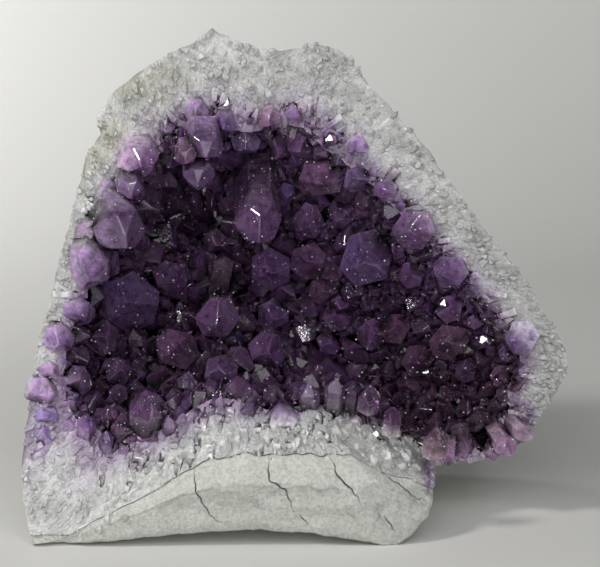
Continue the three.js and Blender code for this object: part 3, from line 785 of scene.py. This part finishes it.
def packed_points(draw, taken, tries, sizes, fine_sizes, spacing, sunk):
    """Points side by side over the whole hollow, finer towards the right end."""
    held = [(p.shoulder.x, p.shoulder.y, p.shoulder.z, p.radius) for p in taken]
    places = np.zeros((len(held) + tries, 4))
    places[: len(held)] = held
    count, found = len(held), []
    for _ in range(tries):
        across, up = between(draw, -98, 96), between(draw, 26, 162)
        fine = float(smoothly(15, 45, across))
        radius = between(draw, *sizes) * (1 - fine) + between(draw, *fine_sizes) * fine
        share = TIPS.share(across, up)
        if share > 1.03:
            continue
        deep = TIPS.depth(across, up) + sunk * radius * between(draw, 0.2, 1)
        near = places[:count]
        away = np.sqrt((near[:, 0] - across) ** 2 + 0.5 * (near[:, 1] - deep) ** 2 + (near[:, 2] - up) ** 2)
        if (away < spacing * (near[:, 3] + radius)).any():
            continue
        axis = TIPS.normal(across, up) * 0.75 + Vector((0, -0.55, 0)) + any_vector(draw) * 0.42
        found.append(rooted(Vector((across, deep, up)), axis.normalized(), radius))
        places[count] = across, deep, up, radius
        count += 1
    return found


LIP_START = 30.6  # the station where the lower lip's columns start
LIP_SPAN = 15.6  # and how many stations they run on for


def lip_columns(draw, count):
    """Columns side by side in the lower lip's broken band, fanning upwards, white at their roots."""
    found = []
    for i in range(count):
        at = LIP_START + LIP_SPAN * (i % (count // 3) + draw()) / (count // 3)
        row = 3 * i // count
        share = (between(draw, 1.85, 2.3), between(draw, 1.55, 2.0), between(draw, 1.2, 1.65))[row]
        root, edge, place = rim_between(at, 1), rim_between(at, 2), rim_between(at, share)
        if place.x < -72 and place.z < 34:
            continue
        axis = (edge - root).normalized() * 0.4 + Vector((0.05, -0.12, 0.75)) + any_vector(draw) * 0.14
        axis.normalize()
        radius = (between(draw, 2.4, 4.4), between(draw, 2.0, 3.4), between(draw, 1.4, 2.6))[row]
        place.y += radius * (0.9, 0.5, 0.35)[row]
        found.append(Point(place, axis, radius, min((place - root).length + 2, 6 * radius)))
    return found


def fringe_points(draw, count, shown):
    """Points at the hollow's edge, where the broken columns end."""
    found = []
    for _ in range(count):
        at = between(draw, 0, len(RIM))
        if 30 < at < 44:
            continue
        left = 22 < at < 31
        place = rim_between(at, between(draw, 1.1 if left else 1.66, 2.1))
        inward = (rim_between(at, 2) - rim_between(at, 1)).normalized()
        axis = inward + Vector((0, -between(draw, 0.0, 0.7), 0)) + any_vector(draw) * 0.4
        axis.normalize()
        radius = between(draw, 1.1, 2.6)
        place.y += radius * between(draw, 0.1, 0.9)
        if any(math.hypot(p.shoulder.x - place.x, p.shoulder.z - place.z) < p.radius for p in shown):
            continue
        found.append(Point(place + axis * radius * between(draw, 0, 1.5), axis, radius, radius * 3))
    return found


def make_crystals():
    draw = seeded(77)
    shown = shown_points()
    edge = wing_points()
    large = packed_points(draw, shown + edge, 5000, (4.6, 8.4), (2.8, 5.2), 0.66, 0.3)
    medium = packed_points(draw, shown + edge + large, 9000, (2.6, 4.6), (1.7, 2.8), 0.6, 0.8)
    small = packed_points(draw, shown + edge + large + medium, 12000, (1.3, 2.5), (1.0, 1.7), 0.62, 1.0)
    columns = lip_columns(draw, 240)
    fringe = fringe_points(draw, 520, shown)
    points = shown + edge + large + medium + small + columns + fringe
    meshes = []
    for point in points:
        mesh = mesh_of("crystal", *placed_quartz(point))
        if point.radius > 2:
            softened(mesh, 0.045 * point.radius)
        if "wear_and_painted_highlight" not in mesh.attributes:
            give(mesh, "wear_and_painted_highlight", np.zeros(len(mesh.polygons)), "FACE")
        corners = positions(mesh)
        heights = (corners - np.array(point.shoulder)) @ np.array(point.axis)
        give(mesh, "height", np.clip(heights / point.radius, -point.root / point.radius, 2))
        bright = 0.55 + 0.6 * point.bright if point.bright else 0.75 + 0.9 * point.draw() ** 1.5
        # painted shade: crystals in the wall's deep pocket drawn darker
        pocket = math.hypot(point.shoulder.x + 43, point.shoulder.z - 117) / 13
        bright *= 1 - 0.6 * math.exp(-(pocket**3))
        give(mesh, "bright", np.full(len(corners), bright))
        give(mesh, "hue", np.full(len(corners), point.draw()))
        own = min(1, max(0, 2.5 - point.bright)) if point.bright and point.axis.z < 0.6 else 0
        give(mesh, "own", np.full(len(corners), own))
        meshes.append(mesh)
    joined = combined(combined(meshes[0], "UNION", meshes[1:]), "INTERSECT", [open_room()])
    return combined(joined, "DIFFERENCE", [below(FLOOR + 2 * GAP)])


DUST = 3600  # specks of quartz


def make_dust(bearers):
    """Specks of quartz on the crystals."""
    draw = seeded(61)
    sheets = []
    for mesh in bearers:
        made = bmesh.new()
        made.from_mesh(mesh)
        sheets.append(BVHTree.FromBMesh(made))
        made.free()
    corners, faces = [], []
    for _ in range(DUST):
        start = Vector((between(draw, -100, 98), -60, between(draw, 20, 185)))
        direction = Vector((between(draw, -0.4, 0.4), 1, between(draw, -0.4, 0.4))).normalized()
        hits = [sheet.ray_cast(start, direction) for sheet in sheets]
        hits = [hit for hit in hits if hit[0] is not None]
        if not hits:
            continue
        place, normal, _, _ = min(hits, key=lambda hit: hit[3])
        shape, sides = CHIP_SHAPES[int(draw() * len(CHIP_SHAPES))]
        size = 0.1 + 0.24 * draw() ** 4
        turned = any_vector(draw).normalized().rotation_difference(any_vector(draw).normalized()).to_matrix()
        first = len(corners)
        middle = np.array(place + normal * size * 0.4)
        corners += [tuple(c) for c in shape * size @ np.array(turned).T + middle]
        faces += [[first + i for i in side] for side in sides]
    return mesh_of("dust", corners, faces)


# Where a place lies on the rim, for the materials
def rim_shares(places):
    """For each place, 0 to 1 over the rind, 1 to 2 over the broken quartz and more in the hollow."""
    rim = fine_rim(QUARTZ_SPACING)
    turned = np.arctan2(rim.out[:, 1], rim.out[:, 0])
    order = np.argsort(turned)
    away = places[:, [0, 2]] - HOLLOW
    at = np.arctan2(away[:, 1], away[:, 0])
    reach, rind, band, deep = (
        np.interp(at, turned[order], values[order], period=2 * math.pi)
        for values in (rim.reach, rim.rind, rim.band, rim.deep)
    )
    inset = reach - np.hypot(*away.T)
    behind = np.maximum(0, places[:, 1] - deep - 5)
    return np.where(inset < rind, inset / rind, 1 + (inset - rind) / band), behind


def low_left(places):
    """1 at the left edge of the lip, where the purple reaches down to the outline, and 0 elsewhere."""
    streaks = 9 * bumps(places * (1, 1, 0.25), 6, 17)
    up = smoothly(16, 42, places[:, 2] + streaks) * smoothly(66, 56, places[:, 2])
    return smoothly(-74, -88, places[:, 0] + 0.4 * streaks) * up


def tips_only(places):
    """How much nearer to the tips the purple starts, on the right half of the lip."""
    across, up = places[:, 0], places[:, 2]
    return 0.4 * smoothly(-22, 8, across) * smoothly(50, 44, across) * smoothly(70, 55, up)


def low_wing(places):
    """1 at the wing's lower edge, coloured right to the outline, and 0 elsewhere."""
    across, deep, up = places.T
    return smoothly(24, 18, deep) * smoothly(42, 48, across) * smoothly(90, 80, across) * smoothly(56, 46, up)


# Materials
def node(tree, kind, inputs=None, **settings):
    made = tree.nodes.new(kind)
    for name, value in settings.items():
        setattr(made, name, value)
    for name, value in (inputs or {}).items():
        if isinstance(value, bpy.types.NodeSocket):
            tree.links.new(value, made.inputs[name])
        else:
            made.inputs[name].default_value = value
    return made


def new_material(name):
    material = bpy.data.materials.new(name)
    material.use_nodes = True
    tree = material.node_tree
    return material, tree, tree.nodes["Principled BSDF"]


def noise_of(tree, scale, detail=3, rough=0.55):
    place = node(tree, "ShaderNodeTexCoord").outputs["Object"]
    inputs = {"Vector": place, "Scale": scale, "Detail": detail, "Roughness": rough}
    return node(tree, "ShaderNodeTexNoise", inputs).outputs["Fac"]


def ramp(tree, factor, *stops):
    made = node(tree, "ShaderNodeValToRGB", {"Fac": factor})
    for i, (at, colour) in enumerate(stops):
        if i < 2:
            stop = made.color_ramp.elements[i]
            stop.position = at
        else:
            stop = made.color_ramp.elements.new(at)
        stop.color = (*colour, 1) if len(colour) == 3 else colour
    return made.outputs["Color"]


def grey(value):
    return value, value, value


def mixed(tree, factor, a, b, blend="MIX"):
    made = node(tree, "ShaderNodeMix", data_type="RGBA", blend_type=blend)
    for index, value in ((0, factor), (6, a), (7, b)):
        if isinstance(value, bpy.types.NodeSocket):
            tree.links.new(value, made.inputs[index])
        elif index == 0:
            made.inputs[index].default_value = value
        else:
            made.inputs[index].default_value = (*value, 1)
    return made.outputs[2]


def worked(tree, operation, *values):
    """A sum or another operation on numbers."""
    return node(tree, "ShaderNodeMath", dict(enumerate(values)), operation=operation).outputs[0]


def attribute(tree, name):
    return node(tree, "ShaderNodeAttribute", attribute_name=name).outputs["Fac"]


def bump_of(tree, height, distance, strength=1.0):
    inputs = {"Height": height, "Distance": distance, "Strength": strength}
    return node(tree, "ShaderNodeBump", inputs).outputs["Normal"]


def rock_material():
    material, tree, shader = new_material("pale_rock")
    broad = ramp(tree, noise_of(tree, 90, 5, 0.7), (0.3, (0.6, 0.62, 0.565)), (0.66, (0.73, 0.74, 0.685)))
    fine = ramp(tree, noise_of(tree, 800, 4, 0.65), (0.3, grey(0.74)), (0.6, grey(1.1)))
    colour = mixed(tree, 1.0, broad, fine, "MULTIPLY")
    # painted light and shade: the rock above the ledge drawn lighter, as the facet that faces the light, and
    # below it darker
    ledge = ramp(tree, attribute(tree, "upper"), (0.0, grey(0.93)), (1.0, grey(1.1)))
    colour = mixed(tree, 1.0, colour, ledge, "MULTIPLY")
    specks = ramp(tree, noise_of(tree, 1100, 2), (0.69, grey(1)), (0.75, (0.5, 0.47, 0.42)))
    colour = mixed(tree, 0.7, colour, specks, "MULTIPLY")
    tree.links.new(colour, shader.inputs["Base Color"])
    shader.inputs["Roughness"].default_value = 0.92
    shader.inputs["Specular IOR Level"].default_value = 0.3
    grain = noise_of(tree, 1500, 5, 0.7)
    tree.links.new(bump_of(tree, grain, 0.0009), shader.inputs["Normal"])
    return material


def quartz_material():
    material, tree, shader = new_material("milky_quartz")
    purple = attribute(tree, "purple")
    stray = noise_of(tree, 190, 4, 0.6)
    shifted = worked(tree, "SUBTRACT", worked(tree, "MULTIPLY_ADD", stray, 0.55, purple), 0.275)
    colour = ramp(
        tree, shifted, (0.0, (0.47, 0.47, 0.455)), (1.0, (0.5, 0.42, 0.52)), (0.3, (0.45, 0.43, 0.46)),
        (0.55, (0.3, 0.24, 0.33)), (0.8, (0.22, 0.15, 0.25)),
    )
    cloud = ramp(tree, noise_of(tree, 130, 3), (0.35, grey(0.82)), (0.62, grey(1.1)))
    colour = mixed(tree, 1.0, colour, cloud, "MULTIPLY")
    sugar = ramp(tree, noise_of(tree, 1200, 3, 0.7), (0.35, grey(0.78)), (0.66, grey(1.25)))
    colour = mixed(tree, 1.0, colour, sugar, "MULTIPLY")
    # painted light and shade: the quartz drawn lighter on the left, towards the key light, and darker to the
    # right
    painted_side_light = ramp(tree, attribute(tree, "side"), (0.0, grey(1.16)), (1.0, grey(0.86)))
    colour = mixed(tree, 1.0, colour, painted_side_light, "MULTIPLY")
    stain = attribute(tree, "stain")
    colour = mixed(tree, stain, colour, (0.84, 0.82, 0.6), "MULTIPLY")
    tree.links.new(colour, shader.inputs["Base Color"])
    shader.inputs["Roughness"].default_value = 0.34
    shader.inputs["IOR"].default_value = 1.54
    shader.inputs["Subsurface Weight"].default_value = 0.3
    shader.inputs["Subsurface Radius"].default_value = (1.0, 0.9, 1.0)
    shader.inputs["Subsurface Scale"].default_value = 0.002
    return material


def crystal_material():
    material, tree, shader = new_material("amethyst")
    along = node(tree, "ShaderNodeMapRange", {0: attribute(tree, "height"), 1: -4.0, 2: 1.0}).outputs[0]
    tint = ramp(tree, along, (0.0, (0.64, 0.57, 0.67)), (1.0, (0.3, 0.16, 0.37)), (0.6, (0.46, 0.32, 0.52)))
    own = worked(tree, "MULTIPLY", attribute(tree, "own"), 0.9)
    coloured = worked(tree, "MAXIMUM", attribute(tree, "purple"), own)
    tint = mixed(tree, coloured, (0.72, 0.71, 0.7), tint)
    hue = ramp(
        tree, attribute(tree, "hue"), (0.0, (1.12, 1.0, 0.92)), (1.0, (0.88, 0.98, 1.12)), (0.35, grey(1)),
        (0.8, (0.98, 0.92, 1.06)),
    )
    tint = mixed(tree, coloured, tint, hue, "MULTIPLY")
    bright = node(tree, "ShaderNodeCombineColor", {i: attribute(tree, "bright") for i in range(3)}).outputs[0]
    tint = mixed(tree, 1.0, tint, bright, "MULTIPLY")
    shadow = ramp(tree, attribute(tree, "inner"), (0.0, grey(1)), (1.0, (0.75, 0.66, 0.7)))
    tint = mixed(tree, 1.0, tint, shadow, "MULTIPLY")
    smoky = ramp(tree, attribute(tree, "smoky"), (0.0, grey(1)), (1.0, (0.72, 0.72, 0.6)))
    tint = mixed(tree, 1.0, tint, smoky, "MULTIPLY")
    veil = ramp(tree, noise_of(tree, 330, 5, 0.68), (0.36, grey(0.55)), (0.68, grey(1.7)))
    tint = mixed(tree, 1.0, tint, veil, "MULTIPLY")
    cloudy = ramp(tree, noise_of(tree, 170, 5, 0.62), (0.5, grey(0)), (0.72, grey(0.5)))
    # painted shade: the cloudy veils drawn pale at the hollow's edge and dark deep inside it
    pale = ramp(tree, attribute(tree, "inner"), (0.0, (0.8, 0.72, 0.84)), (1.0, (0.42, 0.35, 0.42)))
    tint = mixed(tree, cloudy, tint, pale)
    # partly wear, partly painted highlight: the bevels drawn paler in patches, as chipped edges and as edges
    # that catch the light
    chipped = ramp(tree, noise_of(tree, 260, 3), (0.48, grey(0)), (0.66, grey(0.3)))
    wear_and_painted_highlight = worked(tree, "MULTIPLY", attribute(tree, "wear_and_painted_highlight"), chipped)
    tint = mixed(tree, wear_and_painted_highlight, tint, (0.75, 0.68, 0.8))
    tree.links.new(tint, shader.inputs["Base Color"])
    clear = node(tree, "ShaderNodeMapRange", {0: attribute(tree, "clear"), 3: 0.15, 4: 0.84}).outputs[0]
    tree.links.new(clear, shader.inputs["Transmission Weight"])
    shader.inputs["IOR"].default_value = 1.544
    shader.inputs["Roughness"].default_value = 0.05
    shader.inputs["Subsurface Weight"].default_value = 0.8
    shader.inputs["Subsurface Radius"].default_value = (1.0, 0.7, 1.0)
    shader.inputs["Subsurface Scale"].default_value = 0.002
    uneven = bump_of(tree, noise_of(tree, 420, 2), 0.00008)
    tree.links.new(uneven, shader.inputs["Normal"])
    absorbing = node(tree, "ShaderNodeVolumeAbsorption", {"Color": (0.6, 0.42, 0.7, 1), "Density": 23.0})
    output = tree.nodes["Material Output"]
    tree.links.new(absorbing.outputs["Volume"], output.inputs["Volume"])
    return material


def dust_material():
    material, tree, shader = new_material("quartz_dust")
    bright = ramp(tree, noise_of(tree, 300, 2), (0.35, (0.55, 0.5, 0.58)), (0.6, (0.9, 0.88, 0.9)))
    tree.links.new(bright, shader.inputs["Base Color"])
    shader.inputs["Roughness"].default_value = 0.2
    shader.inputs["IOR"].default_value = 1.544
    return material


# The studio
def make_stage():
    """A pale seamless sweep behind and under the geode, low enough to look over from behind."""
    profile = [(-2.2, 0.0)]
    back, bend = 0.42, 0.4
    profile.append((back, 0.0))
    for i in range(1, 17):
        turn = i / 16 * math.pi / 3.1
        profile.append((back + bend * math.sin(turn), bend - bend * math.cos(turn)))
    corners = [(side * 3.0, y, z) for y, z in profile for side in (-1, 1)]
    faces = [(2 * i, 2 * i + 1, 2 * i + 3, 2 * i + 2) for i in range(len(profile) - 1)]
    sweep = bpy.data.objects.new("sweep", mesh_of("sweep", corners, faces))
    bpy.context.scene.collection.objects.link(sweep)
    for polygon in sweep.data.polygons:
        polygon.use_smooth = True
    material, _, shader = new_material("paper")
    shader.inputs["Base Color"].default_value = (0.78, 0.775, 0.745, 1)
    shader.inputs["Roughness"].default_value = 0.9
    sweep.data.materials.append(material)


AIM = (0, 0, 0.08)  # what the lights in front point at, in metres
SPARKS = 14  # small lights round the front, for glints on the facets


def area_light(name, place, target, size, power, colour=(1, 1, 1)):
    light = bpy.data.lights.new(name, "AREA")
    light.shape = "RECTANGLE"
    light.size, light.size_y = size
    light.energy = power
    light.color = colour
    lamp = bpy.data.objects.new(name, light)
    lamp.location = place
    lamp.rotation_euler = (Vector(target) - Vector(place)).to_track_quat("-Z", "Y").to_euler()
    bpy.context.scene.collection.objects.link(lamp)
    return lamp


def make_lights():
    area_light("key", KEY_LIGHT, AIM, (0.18, 0.18), 3.6, (1, 0.98, 0.95))
    area_light("fill", (0.04, -1.3, 0.7), AIM, (1.6, 1.2), 13.6, (0.97, 0.98, 1))
    draw = seeded(3)
    for i in range(SPARKS):
        turn, rise = between(draw, -2.9, -0.3), between(draw, 0.1, 1.2)
        place = (math.cos(turn) * math.cos(rise), math.sin(turn) * math.cos(rise), 0.1 + math.sin(rise))
        area_light(f"spark_{i}", place, AIM, (0.04, 0.04), 0.12)
    area_light("back", (-0.5, 0.45, 0.4), (-0.32, 0.75, 0.08), (0.25, 0.25), 2.1)
    world = bpy.data.worlds.new("studio")
    world.use_nodes = True
    world.node_tree.nodes["Background"].inputs["Color"].default_value = (0.9, 0.93, 1, 1)
    world.node_tree.nodes["Background"].inputs["Strength"].default_value = 0.02
    bpy.context.scene.world = world


def place_piece(name, mesh, material, slot, *nodes, smooth=False):
    """Leans a finished piece back with the face, gives it its name and material, and hides the solids' parts
    that it stands for.
    """
    mesh.transform(STAND)
    mesh.name = name
    mesh.materials.clear()
    mesh.materials.append(material)
    mesh.polygons.foreach_set("use_smooth", [smooth] * len(mesh.polygons))
    piece = bpy.data.objects.new(name, mesh)
    bpy.context.scene.collection.objects.link(piece)
    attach(piece, "root")
    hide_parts(*nodes)


def show_rock():
    rock = make_rock()
    share, behind = rim_shares(positions(rock))
    # painted light and shade: marks the rock above the ledge, which is drawn lighter than the rock below it
    give(rock, "upper", smoothly(LEDGE - 0.02, LEDGE + 0.08, share) * (behind < 6))
    place_piece("rock_rind", rock, rock_material(), "pale_rock", "rind", smooth=True)


def show_quartz():
    """Shows the broken quartz, and gives a copy of it as it was before it was leaned back."""
    quartz = make_quartz()
    places = positions(quartz)
    share, behind = rim_shares(places)
    low = np.maximum(0.5 * low_left(places), low_wing(places)) * smoothly(9, 3, behind)
    inwards = share - 1 + (share > 1) * behind / 25 - tips_only(places)
    give(quartz, "purple", np.maximum(smoothly(0.25, 1.3, inwards), low))
    high_left = smoothly(-20, -70, places[:, 0]) * smoothly(100, 150, places[:, 2])
    give(quartz, "stain", 0.45 * high_left * smoothly(-0.3, 0.4, bumps(places, 14, 15)))
    # painted light and shade: how far right a place lies, so the quartz is drawn lighter on the left and
    # darker on the right
    give(quartz, "side", smoothly(-90, 70, places[:, 0]))
    upright = quartz.copy()
    place_piece("milky_quartz", quartz, quartz_material(), "milky_quartz", "crystal_crust")
    return upright


def show_crystals(quartz):
    """Shows the crystals, and the dust on them and on the quartz."""
    crystals = make_crystals()
    dust = make_dust([crystals, quartz])
    places = positions(crystals)
    share, behind = rim_shares(places)
    # painted shade: how far into the hollow a place lies, so the crystals and their veils are drawn darker
    # there
    give(crystals, "inner", smoothly(0, 1, 0.5 * (share - 1.8) + behind / 45))
    low = np.maximum(0.9 * low_left(places), low_wing(places))
    inwards = share - 1 + behind / 20 - tips_only(places)
    give(crystals, "purple", np.maximum(smoothly(0.35, 0.95, inwards), low))
    own = np.zeros(len(places))
    crystals.attributes["own"].data.foreach_get("value", own)
    clearer = (1 - 0.8 * low_left(places)) * (1 - 0.12 * own)
    give(crystals, "clear", smoothly(0.45, 1.05, inwards) * clearer)
    smoky = smoothly(10, 45, places[:, 0]) * smoothly(84, 64, places[:, 2])
    give(crystals, "smoky", np.maximum(smoky * (1 - smoothly(2.0, 1.4, share)), low_wing(places)))
    place_piece("amethyst_points", crystals, crystal_material(), "amethyst", "crystal_crust")
    place_piece("quartz_dust", dust, dust_material(), "milky_quartz", "crystal_crust")
    bpy.data.meshes.remove(quartz)


make_camera()
show_rock()
show_crystals(show_quartz())
make_stage()
make_lights()
bpy.context.scene.view_settings.view_transform = "Standard"
